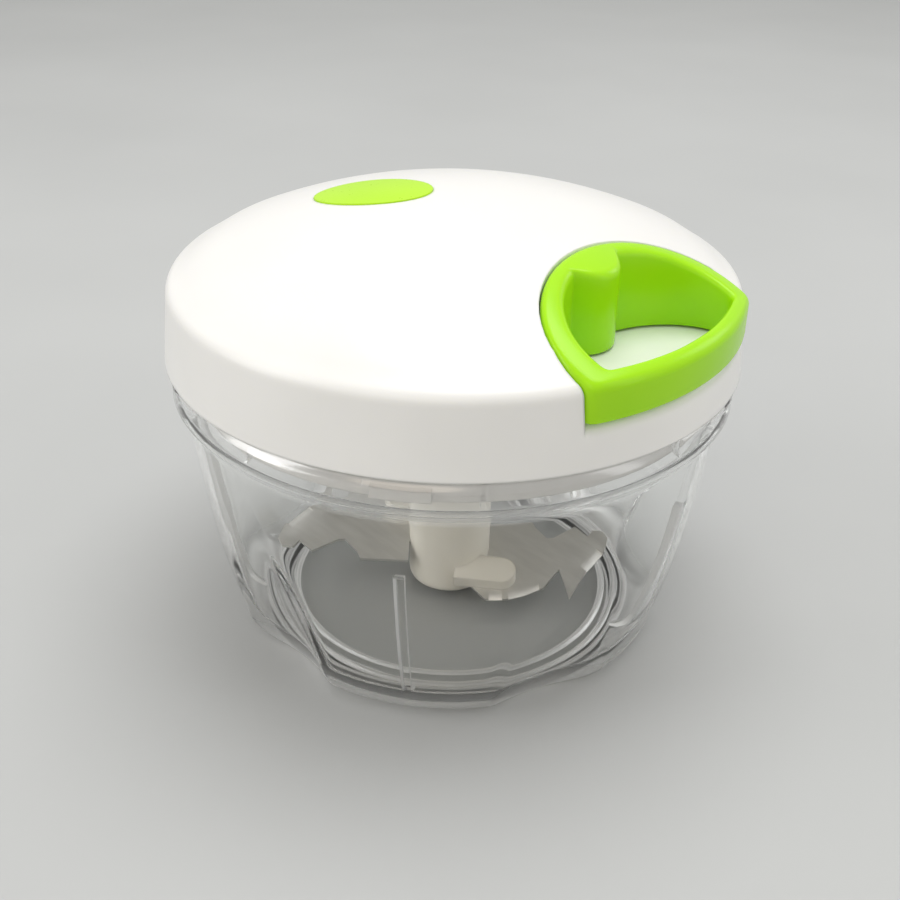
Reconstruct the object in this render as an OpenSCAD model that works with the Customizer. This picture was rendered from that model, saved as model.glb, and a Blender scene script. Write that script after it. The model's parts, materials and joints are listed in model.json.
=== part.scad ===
// Pull-string food chopper: a clear lobed bowl, a three-blade spindle, and a domed lid
// that holds a cord reel with its return spring and a loop handle docked in the rim.
// Millimetres, +Z up, origin on the table under the bowl's centre, handle on +X.

/* [Bowl] */
// Height of the bowl's rim above the table
bowl_h = 66.2; // [60:0.2:80]
// How far the collar stands in from the lid's lower edge
collar_inset = 0.9; // [0.4:0.1:1.4]
// Height of the collar
collar_h = 7.6; // [7:0.1:10]
// Thickness of the collar
collar_t = 2.3; // [2:0.1:2.8]
// How far the collar stands out over the wall under it
collar_step = 2.2; // [1.6:0.1:3]
// Wall thickness of the bowl
bowl_wall = 1.9; // [1.4:0.1:2.4]
// How far the wall draws in from the collar down to the base curve
bowl_taper = 8.6; // [6:0.1:12]
// How far the foot ring stands in from the foot of the wall
foot_inset = 7.2; // [5.5:0.1:8]
// Width of the foot ring
foot_w = 4; // [3:0.1:6]
// Depth of the recess inside the foot ring
foot_recess = 0.6; // [0.4:0.1:1]
// Thickness of the bowl's floor
floor_t = 1.6; // [1.4:0.1:2.4]
// Number of lobes round the bowl
lobes = 5; // [4:1:6]
// Angle of the first lobe from the handle
lobe_angle = 12; // [0:0.5:72]
// How far a flute's bottom stands out from the foot ring, at the table
flute_out = 0.5; // [0.2:0.1:1.5]
// Radius of a flute's round bottom
flute_r = 32; // [25:1:45]
// Height at which a flute fades out
flute_top = 40; // [32:1:48]
// Width of the stopper rib inside a lobe
rib_w = 1.8; // [1.2:0.1:3]
// Height of the stopper ribs' top
rib_top = 40; // [25:1:50]
// How far a stopper rib stands out of the wall
rib_depth = 1.6; // [1:0.1:2.4]

/* [Lid] */
// Outer radius of the lid at its lower edge
lid_r = 62.5; // [62:0.1:66]
// Gap between the lid's lower edge and the bowl's rim
lid_gap = 0.3; // [0.2:0.1:0.6]
// Height of the lid's side, up to the shoulder
lid_side_h = 16.8; // [15:0.2:22]
// Rise of the dome above the shoulder
dome_rise = 15.1; // [13:0.1:18]
// Draft of the lid's side, in over its height
lid_draft = 1.1; // [0.4:0.1:1.6]
// Radius of the rounded shoulder
shoulder_r = 3; // [1.5:0.1:4]
// Wall thickness of the lid cover
lid_wall = 1.8; // [1.4:0.1:2.2]
// Height of the notch floor above the lid's lower edge
notch_floor_h = 8.8; // [7:0.1:9]
// Distance of the notch's widest line in from the lid's edge
notch_set = 10.5; // [8.5:0.5:12.5]
// Depth of the notch inward from its widest line
notch_depth = 21; // [18:0.5:22]
// Half of the notch's width
notch_half_w = 28.5; // [26:0.5:30]
// Thickness of the notch's walls and floor
notch_wall = 1.8; // [1.4:0.1:2]
// Radius of the rounded edge of the notch's floor, under the grip bar
ledge_edge_r = 3.2; // [2:0.1:3.4]
// Long half axis of the oval inlay in the dome, along the lid's radius
inlay_a = 13.5; // [8:0.5:14]
// Short half axis of the oval inlay
inlay_b = 9.5; // [7:0.5:12]
// Distance of the inlay's centre from the axis
inlay_x = 19.2; // [16:0.2:26]
// Direction of the inlay's centre from the handle
inlay_angle = 198.5; // [160:0.5:220]

/* [Lid base] */
// Thickness of the lid base plate
base_plate_t = 2; // [1.6:0.1:2.4]
// Depth of the skirt below the bowl's rim
skirt_h = 6.6; // [6:0.1:8]
// Thickness of the skirt
skirt_t = 1.8; // [1.4:0.1:2.4]
// Number of bayonet lugs on the skirt
lugs = 4; // [3:1:4]
// Angular width of a bayonet lug
lug_deg = 11.4; // [8:0.2:14]
// Angle that the lid turns to lock
lock_deg = 20; // [12:1:20]
// Angle of the first lug from the handle
lug_angle = -59; // [-80:0.5:-40]
// Radius of the circle of lid screws
screw_circle_r = 44; // [40:0.5:48]

/* [Reel] */
// Gap between the reel's flanges and the notch's wall
reel_room = 3.2; // [2:0.1:4.5]
// Depth of the cord's groove between the flanges
groove_depth = 5; // [4:0.1:6]
// Thickness of the reel's flanges
flange_t = 1.5; // [1.2:0.1:2]
// Diameter of the pull cord
cord_d = 2; // [1.4:0.1:2.2]
// Turns of cord on the reel
cord_turns = 3; // [2:1:3]
// Rise of the cord in one turn
cord_pitch = 2.45; // [2.4:0.05:2.6]
// Height of the mainspring strip
spring_h = 4.8; // [4:0.1:5.4]
// Thickness of the mainspring strip
spring_t = 0.5; // [0.3:0.05:0.6]
// Turns of the mainspring
spring_turns = 7; // [5:1:8]
// Radius of the reel axle
axle_r = 3; // [2.5:0.1:3.5]

/* [Blades] */
// Radius of the blade spindle
hub_r = 9.7; // [9.2:0.1:10.4]
// Radius of the pivot pin in the bowl
pivot_r = 2.5; // [2:0.1:3]
// Height of the pivot pin above the bowl's floor
pivot_h = 13; // [10:0.5:16]
// How far the blades' tips stay inside the foot ring's outer radius
tip_inset = 5.5; // [4:0.1:8]
// How much farther the middle blade reaches than the others
middle_more = 3; // [0:0.5:4]
// Height of the low blade above the bowl's floor
blade_low_z = 7.3; // [6.8:0.1:8]
// Height of the middle blade above the bowl's floor
blade_middle_z = 11.8; // [11:0.1:15]
// Height of the high blade above the bowl's floor
blade_high_z = 31.8; // [28:0.1:38]
// Thickness of a blade
blade_t = 0.8; // [0.6:0.1:1.2]
// Pitch of the low blade about its length; the middle blade leans the other way
blade_pitch = 20; // [8:1:20]
// Direction of the low blade from the handle
blade_angle = 32; // [0:0.5:60]

/* [Handle] */
// Clearance between the handle and the notch
handle_gap = 0.5; // [0.3:0.1:0.8]
// Thickness of the handle at its inner end
handle_inner_t = 3.4; // [2.8:0.1:4.5]
// Thickness of the handle at its widest line
handle_side_t = 5.5; // [4:0.1:7]
// Thickness of the grip bar along the rim
handle_front_t = 3.2; // [2.6:0.1:4]
// How far the grip bar stands in from the lid's lower edge
handle_set = 0.3; // [0:0.1:1.2]
// How far the handle's top stands above the dome
handle_rise = 0.4; // [0:0.1:0.8]
// Radius of the knot boss at the loop's inner end
boss_r = 7.2; // [6.4:0.1:9.5]
// How far the knot boss stands out into the loop
boss_out = 5.4; // [4.8:0.1:6]

/* [Hidden] */

$fn = 96;
tiny = 0.01;
run_gap = 0.06;    // radial clearance of a running fit
press_gap = 0.02;  // radial clearance of a fixed fit
play = 0.3;        // clearance between faces that move past each other

// Radii of the bowl and of the notch, in from the lid's edge
collar_r = lid_r - collar_inset;
collar_in_r = collar_r - collar_t;
bowl_top_r = collar_r - collar_step;
bowl_base_r = bowl_top_r - bowl_taper;
foot_r = bowl_base_r - foot_inset;
notch_x = lid_r - notch_set;
notch_in_x = notch_x - notch_depth;
flange_r = notch_in_x - notch_wall - reel_room;
barrel_r = flange_r - groove_depth;

// Heights above the table
floor_z = foot_recess + floor_t;
rim_z = bowl_h;
lid_z = rim_z + lid_gap;
shoulder_z = lid_z + lid_side_h;
top_z = shoulder_z + dome_rise;
notch_z = lid_z + notch_floor_h;
plate_lift = 1;
plate_z0 = lid_z + plate_lift;
plate_z1 = plate_z0 + base_plate_t;
skirt_z = rim_z - skirt_h;

// Dome of the lid as a sphere
shoulder_in_r = lid_r - lid_draft;
dome_r = (shoulder_in_r * shoulder_in_r + dome_rise * dome_rise) / (2 * dome_rise);
dome_cz = top_z - dome_r;
function dome_z(r, below = 0) = dome_cz + sqrt(pow(dome_r - below, 2) - r * r);

// Bayonet between the skirt and the collar
bayonet_gap = 1.7;
skirt_r = collar_in_r - bayonet_gap;
lug_r = collar_in_r - play;
ridge_r = skirt_r + play;
lug_room = 0.4;    // under a lug, and between it and the ridge over it
lug_z = skirt_z + lug_room;
lug_h = 2.2;
ridge_z = lug_z + lug_h + lug_room;
ridge_h = 1.6;
ridge_past_deg = 5;
ridge_gap_deg = 1.2;
stop_deg = 1;
entry_deg = 8.7;

// Reel, from the bottom flange up to the cover of its spring cup
reel_lift = 3.3;
reel_z = plate_z1 + reel_lift;
groove_z = reel_z + flange_t;
groove_room = 0.45;
groove_h = cord_turns * cord_pitch + cord_d + groove_room;
cup_floor_z = groove_z + groove_h;
cup_z = cup_floor_z + flange_t;
cup_room = 1.2;
cup_h = spring_h + cup_room;
cup_t = 1.5;
cup_inset = 3;
cup_in_r = flange_r - cup_inset;
cup_top_z = cup_z + cup_h;
cover_t = 1;
hub_boss_r = 9.2;
arbor_t = 2.2;
arbor_r = axle_r + arbor_t;
arbor_z = cup_z + play;
axle_seat = 7.5;
axle_z0 = reel_z - play;
axle_z1 = arbor_z + axle_seat;

// Cord: a helix on the barrel, then out through the eyelet to the knot in the handle
cord_r = cord_d / 2;
wind_gap = 0.25;
wind_r = barrel_r + cord_r + wind_gap;
wind_lift = 0.2;
wind_z0 = groove_z + cord_r + wind_lift;
cord_z = wind_z0 + cord_turns * cord_pitch;
eye_bend_x = flange_r;
leave_deg = acos(wind_r / eye_bend_x);
bend_r = 4;
handle_in_x = notch_in_x + handle_gap;
knot_r = 2.3;
knot_set = 1.6;
knot_gap = 0.4;
knot_x = handle_in_x + handle_inner_t + knot_set;
cord_gap = 0.35;
eyelet_r = 2.55;
eyelet_flange_r = 3.8;
eyelet_flange_t = 0.8;

// Drive between the reel and the spindle
coupling_r = 9;
coupling_drop = 1.3;
coupling_z = plate_z0 - coupling_drop;
nose_r = 5;
nose_len = 8.7;
nose_z = coupling_z - nose_len;
dog_r = 7.2;
dog_deg = 40;
socket_r = dog_r + play;
socket_room = 1;
socket_z = nose_z - socket_room;
hub_lift = 0.5;
hub_z = floor_z + hub_lift;
hub_room = 0.7;
hub_top_z = coupling_z - hub_room;
pivot_boss_t = 4;
pivot_boss_r = pivot_r + pivot_boss_t;
pivot_boss_h = 1;
pivot_boss_gap = 0.5;
pin_skin = 0.5;    // floor left under the pin's bore
pin_end_gap = 0.1;
pin_tip = 1;

// Keys that turn the reel and the coupling together
key = [1.5, 3, 3];
key_gap = 0.1;
key_x = coupling_r - 2;
key_z = reel_z - 1;

// Screws
screw_r = 1.25;
screw_bite = 8;
screw_hole_r = 1.6;
screw_post_r = 3.6;
screw_head_r = 3;
head_t = 1.5;
head_gap = 0.2;
drive_w = 0.8;     // cross slot in a screw's head
drive_depth = 0.9;

// Points along an arc, a quadratic curve and a half ellipse
function arc(c, r, a0, a1, n) =
    [for (i = [0:n]) let (q = a0 + (a1 - a0) * i / n) c + r * [cos(q), sin(q)]];
function curve(a, b, c, n) =
    [for (i = [0:n]) let (t = i / n) (1 - t) * (1 - t) * a + 2 * t * (1 - t) * b + t * t * c];
function bay(cx, a, b, n, out) = concat(
    [[cx + out, b]],
    [for (i = [0:n]) let (q = 90 + 180 * i / n) [cx + a * cos(q), b * sin(q)]],
    [[cx + out, -b]]);

// Ring sector with true round walls
module sector(r0, r1, z0, z1, a0, a1) {
    rotate([0, 0, a0])
        rotate_extrude(angle = a1 - a0)
            translate([r0, z0]) square([r1 - r0, z1 - z0]);
}

module tube(r0, r1, z0, z1) {
    rotate_extrude() translate([r0, z0]) square([r1 - r0, z1 - z0]);
}

module rod(r, z0, z1) {
    translate([0, 0, z0]) cylinder(r = r, h = z1 - z0);
}

// Round tube swept along a list of points; the ends are flat
function unit(v) = v / norm(v);
function tangent(p, i) = unit(p[min(i + 1, len(p) - 1)] - p[max(i - 1, 0)]);
function ring_at(p, i, r, n) =
    let (t = tangent(p, i), side = unit(cross(t, [0, 0, 1])), up = cross(side, t))
    [for (k = [0:n - 1]) p[i] + r * (cos(360 * k / n) * side + sin(360 * k / n) * up)];
module sweep(p, r, n) {
    m = len(p);
    points = [for (i = [0:m - 1]) each ring_at(p, i, r, n)];
    sides = [for (i = [0:m - 2]) for (k = [0:n - 1])
        let (a = i * n + k, b = i * n + (k + 1) % n)
        each [[a, b, a + n], [b, b + n, a + n]]];
    caps = [[for (k = [0:n - 1]) n - 1 - k], [for (k = [0:n - 1]) (m - 1) * n + k]];
    polyhedron(points, concat(sides, caps));
}

// Bowl
base_curve_r = bowl_base_r - foot_r;
collar_z = rim_z - collar_h;
collar_slope = 1.1;
floor_edge_in = 4.6;
floor_flat_r = foot_r - floor_edge_in;

// Points that shape the wall's outer and inner curves
wall_mid = [bowl_base_r + 5.1, 22];
wall_end = [bowl_top_r, collar_z - collar_slope];
inner_base = [bowl_base_r - bowl_wall + 0.8, 11];
inner_mid = [wall_mid[0] - bowl_wall + 0.6, 26];
inner_end = [bowl_top_r - bowl_wall, collar_z - 1];
inner_floor = [inner_base[0] - 1.2, floor_z + 0.2];

function wall_line() = curve([bowl_base_r, base_curve_r], wall_mid, wall_end, 10);
function inner_line() = curve(inner_base, inner_mid, inner_end, 10);
function wall_r(z) = lookup(z, [for (p = wall_line()) [p[1], p[0]]]);
function bowl_outside() = concat(
    [[0, foot_recess], [foot_r - foot_w - foot_recess, foot_recess], [foot_r - foot_w, 0]],
    arc([foot_r, base_curve_r], base_curve_r, -90, -6, 7),
    wall_line(),
    [[collar_r, collar_z], [collar_r, rim_z], [0, rim_z]]);
function bowl_inside() = concat(
    [[0, floor_z], [floor_flat_r, floor_z]],
    curve([floor_flat_r, floor_z], inner_floor, inner_base, 7),
    inner_line(),
    [[collar_in_r, collar_z + 0.2], [collar_in_r, rim_z + 1], [0, rim_z + 1]]);

// A flute's round bottom, leaning out from the foot ring until it leaves the wall
module flute(grow) {
    bottom_in = foot_r + flute_out;
    lean = atan2(wall_r(flute_top) - bottom_in, flute_top);
    tail = 30;
    translate([bottom_in, 0, 0]) rotate([0, lean, 0])
        translate([flute_r, 0, -tail]) cylinder(r = flute_r + grow, h = flute_top + 2 * tail);
}

module each_lobe(offset_deg) {
    for (i = [0:lobes - 1]) rotate([0, 0, lobe_angle + offset_deg + 360 * i / lobes]) children();
}

// Ridges that the lugs turn under, each with a stop at its end and one at its entry
module bayonet_ridges() {
    root_r = collar_in_r + 0.3;
    ridge_z1 = ridge_z + ridge_h;
    lock_a1 = -lug_deg / 2 - ridge_gap_deg;
    lock_a0 = lock_a1 - lock_deg - ridge_past_deg;
    entry_a = lug_deg / 2 + entry_deg;
    for (i = [0:lugs - 1]) rotate([0, 0, lug_angle + 360 * i / lugs]) {
        sector(ridge_r, root_r, ridge_z, ridge_z1, lock_a0, lock_a1);
        sector(ridge_r, root_r, lug_z, ridge_z1, lock_a0 - stop_deg, lock_a0);
        sector(ridge_r, root_r, lug_z, ridge_z1, entry_a, entry_a + stop_deg);
    }
}

module bowl() {
    color([0.86, 0.9, 0.9, 0.35]) {
        difference() {
            rotate_extrude() polygon(bowl_outside());
            each_lobe(180 / lobes) flute(0);
            difference() {
                rotate_extrude() polygon(bowl_inside());
                each_lobe(180 / lobes) flute(bowl_wall);
                each_lobe(0) stopper_rib();
                rod(pivot_boss_r, 0, floor_z + pivot_boss_h);
            }
            rod(pivot_r + press_gap, foot_recess + pin_skin, floor_z + pivot_boss_h + 1);
        }
        bayonet_ridges();
    }
}

// Rib up the inside of a lobe, following the wall
module stopper_rib() {
    foot = [inner_base[0] - 2.6, floor_z + 1.5];
    low = [for (p = inner_line()) if (p[1] < rib_top - 2) p];
    face = [for (p = concat([foot], low)) p - [rib_depth, 0]];
    top_r = face[len(face) - 1][0] + 0.4;
    rotate([90, 0, 0]) linear_extrude(height = rib_w, center = true)
        polygon(concat([[face[0][0], 0]], face, [[top_r, rib_top], [collar_r, rib_top], [collar_r, 0]]));
}

module pivot_pin() {
    tip_z = floor_z + pivot_h - pin_tip;
    color("silver") {
        rod(pivot_r, foot_recess + pin_skin + pin_end_gap, tip_z);
        translate([0, 0, tip_z]) cylinder(r1 = pivot_r, r2 = pivot_r - pin_tip, h = pin_tip);
    }
}

// Blades and their spindle
blade_heights = [floor_z + blade_low_z, floor_z + blade_middle_z, floor_z + blade_high_z];
blade_angles = [blade_angle, blade_angle + 180, blade_angle + 90];
blade_pitches = [blade_pitch, -blade_pitch, 0];
blade_seat = 3.6;
blade_root = hub_r - blade_seat;
blade_root_w = 4.2;
blade_reaches = [for (more = [0, middle_more, 0]) foot_r - tip_inset - hub_r + more];

// Outline of a blade, out from the spindle's wall; it stretches from the reach that it is drawn for
drawn_reach = 28.4;
edge_shape = [[-3, -10.6], [0.9, -14], [5.6, -13.4], [14.7, -9.8], [17.7, -3.8],
              [20, -11.2], [23.3, -4], [27.8, 3]];
back_shape = [[28.4, 7], [27, 9], [24.7, 9], [23.5, 7], [20.2, 9.6], [15.2, 5.6],
              [13.6, 5.3], [10.4, 8.4], [9.4, 10.5], [-1, 9.6]];
function blade_line(shape, i) =
    [for (p = shape) [hub_r + p[0] * blade_reaches[i] / drawn_reach, p[1]]];

module at_blade(i) {
    rotate([0, 0, blade_angles[i]])
        translate([0, 0, blade_heights[i]])
            rotate([blade_pitches[i], 0, 0])
                children();
}

module blade_plate(i, grow) {
    at_blade(i) translate([0, 0, -grow])
        linear_extrude(height = blade_t + 2 * grow)
            polygon(concat([[blade_root, -blade_root_w], [hub_r - 1, -blade_root_w]],
                           blade_line(edge_shape, i), blade_line(back_shape, i),
                           [[hub_r - 0.5, blade_root_w], [blade_root, blade_root_w]]));
}

// Bevel ground from above along one straight stretch of a blade's edge
bevel_w = 2.2;
bevel_end = 0.8;
edge_t = 0.25;
ground_runs = [1, 2, 6];
module bevel(a, b) {
    translate([a[0], a[1], 0]) rotate([0, 0, atan2(b[1] - a[1], b[0] - a[0])])
        translate([bevel_end, 0, 0]) rotate([90, 0, 90])
            linear_extrude(height = norm(b - a) - 2 * bevel_end)
                polygon([[-1, edge_t], [0, edge_t], [bevel_w, blade_t],
                         [bevel_w, blade_t + 1], [-1, blade_t + 1]]);
}

module blade(i) {
    edge = blade_line(edge_shape, i);
    color("lightgray") difference() {
        blade_plate(i, 0);
        at_blade(i) for (k = ground_runs) bevel(edge[k], edge[k + 1]);
    }
}

// Moulded arm that grips a blade's root from above
arm_len = 7.4;
arm_w = 7;
arm_h = 3.6;
arm_y = -8;
arm_x0 = hub_r - 7;
module blade_arm(i) {
    end_x = hub_r + arm_len - arm_w / 2;
    rotate([0, 0, blade_angles[i]])
        translate([0, arm_y, blade_heights[i]])
            rotate([blade_pitches[i], 0, 0])
                translate([0, 0, blade_t + arm_y * tan(blade_pitches[i])]) {
                    translate([arm_x0, -arm_w / 2, 0]) cube([end_x - arm_x0, arm_w, arm_h]);
                    translate([end_x, 0, 0]) cylinder(r = arm_w / 2, h = arm_h);
                }
}

pin_room = 0.8;
module spindle_body() {
    edge_r = 2.4;
    rotate_extrude() polygon(concat(
        [[0, hub_z]], arc([hub_r - edge_r, hub_z + edge_r], edge_r, -90, 0, 6),
        [[hub_r, hub_top_z], [0, hub_top_z]]));
}

module blade_spindle() {
    color("whitesmoke") difference() {
        union() {
            difference() {
                spindle_body();
                rod(socket_r, socket_z, hub_top_z + 1);
            }
            for (k = [0, 180])
                sector(nose_r + play, socket_r + 0.2, socket_z - 0.2, hub_top_z - 1,
                       k + dog_deg / 2 + 1, k + dog_deg * 1.5 + 1);
            for (i = [0:2]) blade_arm(i);
        }
        for (i = [0:2]) blade_plate(i, press_gap);
        rod(pivot_r + run_gap, 0, floor_z + pivot_h + pin_room);
        rod(pivot_boss_r + pivot_boss_gap, 0, floor_z + pivot_boss_h + play);
    }
}

// Lid cover: half section of its outside, or of its hollow when drawn in by the wall
dome_steps = 18;
shoulder_fit = [0.9, 0.35];
shoulder_ease = 0.6;
shoulder_past_deg = 4;
function lid_outside(in) =
    let (corner = [shoulder_in_r - in - shoulder_r - shoulder_fit[0],
                   shoulder_z - in - shoulder_r + shoulder_fit[1]],
         turn_a = 90 - asin(corner[0] / dome_r) + shoulder_past_deg,
         dome_edge_r = corner[0] - shoulder_ease,
         low_z = in > 0 ? lid_z - 1 : lid_z)
    concat([[0, low_z], [lid_r - in, low_z]],
           arc(corner + [shoulder_ease, 0], shoulder_r, 0, turn_a, 5),
           [for (i = [1:dome_steps]) let (r = dome_edge_r * (1 - i / dome_steps)) [r, dome_z(r, in)]]);

function side_r(z) = lookup(z, [
    [lid_z, lid_r],
    [shoulder_z - shoulder_r + shoulder_fit[1], shoulder_in_r - shoulder_fit[0] + shoulder_ease]]);

module lid_solid(in) {
    rotate_extrude() polygon(lid_outside(in));
}

notch_steps = 28;
bay_out = 20;
module notch(grow) {
    linear_extrude(height = top_z)
        polygon(bay(notch_x, notch_depth + grow, notch_half_w + grow, notch_steps, bay_out));
}

// What is cut away to round the outer edge of the notch's floor; it starts just outside the side
ledge_over = 0.05;
module ledge_cut() {
    low_z = notch_z - ledge_edge_r;
    edge_r = side_r(low_z) + ledge_over;
    out_r = lid_r + 1;
    intersection() {
        translate([0, 0, low_z - 1]) notch(0);
        rotate_extrude() polygon(concat(
            arc([edge_r - ledge_edge_r, low_z], ledge_edge_r, 0, 90, 6),
            [[edge_r - ledge_edge_r, notch_z + 1], [out_r, notch_z + 1], [out_r, low_z]]));
    }
}

screw_angles = [60, 135, 225, 300];
module at_screws() {
    for (a = screw_angles) rotate([0, 0, a]) translate([screw_circle_r, 0, 0]) children();
}

module inlay_shape(grow) {
    rotate([0, 0, inlay_angle]) translate([inlay_x, 0, 0])
        linear_extrude(height = top_z + 1)
            polygon([for (q = [0:10:350]) [(inlay_a + grow) * cos(q), (inlay_b + grow) * sin(q)]]);
}
inlay_t = 1;
inlay_rise = 0.25;

module dome_skin(below) {
    translate([0, 0, dome_cz]) sphere(r = dome_r - below, $fn = 128);
}

axle_end_gap = 0.2;
module lid_cover() {
    color("white") difference() {
        intersection() {
            lid_solid(0);
            union() {
                difference() {
                    lid_solid(0);
                    lid_solid(lid_wall);
                }
                translate([0, 0, notch_z - notch_wall]) notch(notch_wall);
                rod(arbor_r, arbor_z, top_z);
                at_screws() rod(screw_post_r, plate_z1, top_z);
            }
        }
        translate([0, 0, notch_z]) notch(0);
        ledge_cut();
        rod(axle_r + press_gap, arbor_z - 1, axle_z1 + axle_end_gap);
        translate([-arbor_r - 1, -spring_t / 2, arbor_z - 1])
            cube([arbor_r, 2 * spring_t, spring_h + 2.5]);
        at_screws() rod(screw_r, plate_z1 - 1, plate_z1 + screw_bite + 1);
        translate([0, 0, cord_z]) rotate([0, 90, 0])
            rod(eyelet_r + press_gap, eye_bend_x, notch_in_x + 1);
        difference() {
            inlay_shape(press_gap);
            dome_skin(inlay_t + press_gap);
        }
    }
}

module oval_inlay() {
    color("yellowgreen") difference() {
        intersection() {
            inlay_shape(0);
            dome_skin(-inlay_rise);
        }
        dome_skin(inlay_t);
    }
}

// Lid base: plate, skirt and bayonet lugs
plate_gap = 0.8;
plate_r = lid_r - lid_wall - plate_gap;
pad_r = 5;
pad_h = 1.5;
pad_z = plate_z0 - pad_h;
under_rib_h = 1.6;
under_rib_w = 1.2;
under_rib_step = 45;
ring_r = 13.2;
ring_t = 2.2;
root = 0.4;        // how far a rib runs into what it joins

module lid_base() {
    rib_x0 = ring_r + ring_t - root;
    rib_x1 = skirt_r - skirt_t + root;
    rib_z = plate_z0 - under_rib_h;
    color("white") difference() {
        union() {
            rod(plate_r, plate_z0, plate_z1);
            tube(skirt_r - skirt_t, skirt_r, skirt_z, plate_z0 + tiny);
            for (i = [0:lugs - 1]) {
                a = lug_angle + 360 * i / lugs;
                sector(skirt_r - root, lug_r, lug_z, lug_z + lug_h, a - lug_deg / 2, a + lug_deg / 2);
            }
            at_screws() rod(pad_r, pad_z, plate_z0 + tiny);
            for (a = [0:under_rib_step:359]) rotate([0, 0, a + under_rib_step / 2])
                translate([rib_x0, -under_rib_w / 2, rib_z])
                    cube([rib_x1 - rib_x0, under_rib_w, under_rib_h + tiny]);
            tube(ring_r, ring_r + ring_t, rib_z, plate_z0 + tiny);
        }
        rod(bush_r + press_gap, 0, top_z);
        at_screws() rod(screw_hole_r, 0, top_z);
        at_screws() rod(screw_head_r + head_gap, 0, pad_z + head_t + head_gap);
    }
}

bush_t = 2;
bush_r = coupling_r + bush_t;
bush_flange_t = 1;
module drive_bush() {
    color("gainsboro") {
        tube(coupling_r + run_gap, bush_r, plate_z0, plate_z1);
        tube(coupling_r + run_gap, bush_r + bush_t, plate_z1, plate_z1 + bush_flange_t);
    }
}

seal_gap = 0.1;
seal_t = plate_z0 - rim_z - seal_gap;
module lid_seal() {
    color("gainsboro") tube(skirt_r + play, plate_r, plate_z0 - seal_t, plate_z0);
}

module screw(head_r, shank_r, head_h, length) {
    drive_len = head_r * 1.3;
    difference() {
        union() {
            rod(head_r, 0, head_h);
            rod(shank_r, head_h - tiny, head_h + length);
        }
        for (a = [0, 90]) rotate([0, 0, a])
            translate([-drive_len / 2, -drive_w / 2, -1]) cube([drive_len, drive_w, drive_depth + 1]);
    }
}

module lid_screws() {
    head_z = pad_z + head_gap;
    color("silver") at_screws() translate([0, 0, head_z])
        screw(screw_head_r, screw_r - press_gap, head_t, plate_z1 + screw_bite - head_z - head_t);
}

// Reel and what it turns on
barrel_t = 2.5;
spoke_t = 1.4;
spoke_root = 0.5;
module reel() {
    barrel_in_r = barrel_r - barrel_t;
    spoke_x = hub_boss_r - spoke_root;
    color("ivory") difference() {
        union() {
            rod(hub_boss_r, reel_z, cup_z);
            tube(barrel_in_r, flange_r, reel_z, groove_z);
            tube(barrel_in_r, barrel_r, groove_z - tiny, cup_floor_z + tiny);
            rod(flange_r, cup_floor_z, cup_z);
            tube(cup_in_r, cup_in_r + cup_t, cup_z - tiny, cup_top_z);
            for (a = [30:60:330]) rotate([0, 0, a])
                translate([spoke_x, -spoke_t / 2, groove_z])
                    cube([barrel_in_r + spoke_root - spoke_x, spoke_t, groove_h]);
        }
        rod(axle_r + run_gap, 0, top_z);
        for (a = [90, 270]) rotate([0, 0, a])
            translate([key_x - key_gap, -key[1] / 2 - key_gap, key_z])
                cube(key + key_gap * [2, 2, 1]);
        translate([cup_in_r - 1, -spring_t / 2, cup_z]) cube([cup_t + 2, 2 * spring_t, cup_h + 1]);
    }
}

module reel_axle() {
    color("silver") difference() {
        rod(axle_r, axle_z0, axle_z1);
        rod(axle_screw_r, axle_z0 - 1, axle_z0 + axle_screw_bite + 1);
    }
}

washer_t = 0.8;
washer_r = 6;
washer_in_r = 1.6;
axle_head_r = 2.8;
axle_screw_r = 1.5;
axle_screw_bite = 7;
module axle_washer() {
    color("silver") tube(washer_in_r, washer_r, axle_z0 - washer_t, axle_z0);
}

module axle_screw() {
    color("silver") translate([0, 0, axle_z0 - washer_t - head_t])
        screw(axle_head_r, axle_screw_r - press_gap, head_t, washer_t + axle_screw_bite);
}

// Coupling: a cup that the reel's keys turn, and a nose with two dogs in the spindle's socket
dog_root = 0.6;
module drive_coupling() {
    web_z0 = coupling_z - 1;
    web_z1 = coupling_z + 1.5;
    cup_r = coupling_r - 2.2;
    nose_in_r = nose_r - 2;
    color("whitesmoke") {
        rotate_extrude() polygon([[nose_in_r, nose_z], [nose_r, nose_z], [nose_r, coupling_z],
            [coupling_r, coupling_z], [coupling_r, reel_z], [cup_r, reel_z], [cup_r, web_z1],
            [0, web_z1], [0, web_z0], [nose_in_r, web_z0]]);
        for (k = [0, 180])
            sector(nose_r - dog_root, dog_r, nose_z + dog_root, coupling_z + dog_root,
                   k - dog_deg / 2, k + dog_deg / 2);
        for (a = [90, 270]) rotate([0, 0, a])
            translate([key_x, -key[1] / 2, key_z]) cube(key);
    }
}

// Flat spiral spring: its inner end hooks into the arbor, its outer end into the cup
spring_z = cup_z + cup_room / 2;
spring_room = 0.7;
spring_r0 = arbor_r + spring_room;
spring_r1 = cup_in_r - spring_room;
spring_steps = 20;
module mainspring() {
    n = spring_turns * spring_steps;
    function at(i, r_off) =
        let (r = spring_r0 + (spring_r1 - spring_r0) * i / n + r_off,
             q = 180 + 360 * (spring_turns + 0.5) * i / n)
        r * [cos(q), sin(q)];
    inner = [for (i = [0:n]) at(i, 0)];
    outer = [for (i = [n:-1:0]) at(i, spring_t)];
    hook_out = cup_in_r + cup_t + 0.6;
    hook_in = arbor_r - 1.8;
    outer_hook = [[spring_r1, spring_t], [hook_out, spring_t], [hook_out, 0]];
    inner_hook = [[-spring_r0 - spring_t, spring_t], [-hook_in, spring_t], [-hook_in, 0]];
    color("dimgray") translate([0, 0, spring_z]) linear_extrude(height = spring_h)
        polygon(concat(inner, outer_hook, outer, inner_hook));
}

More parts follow.
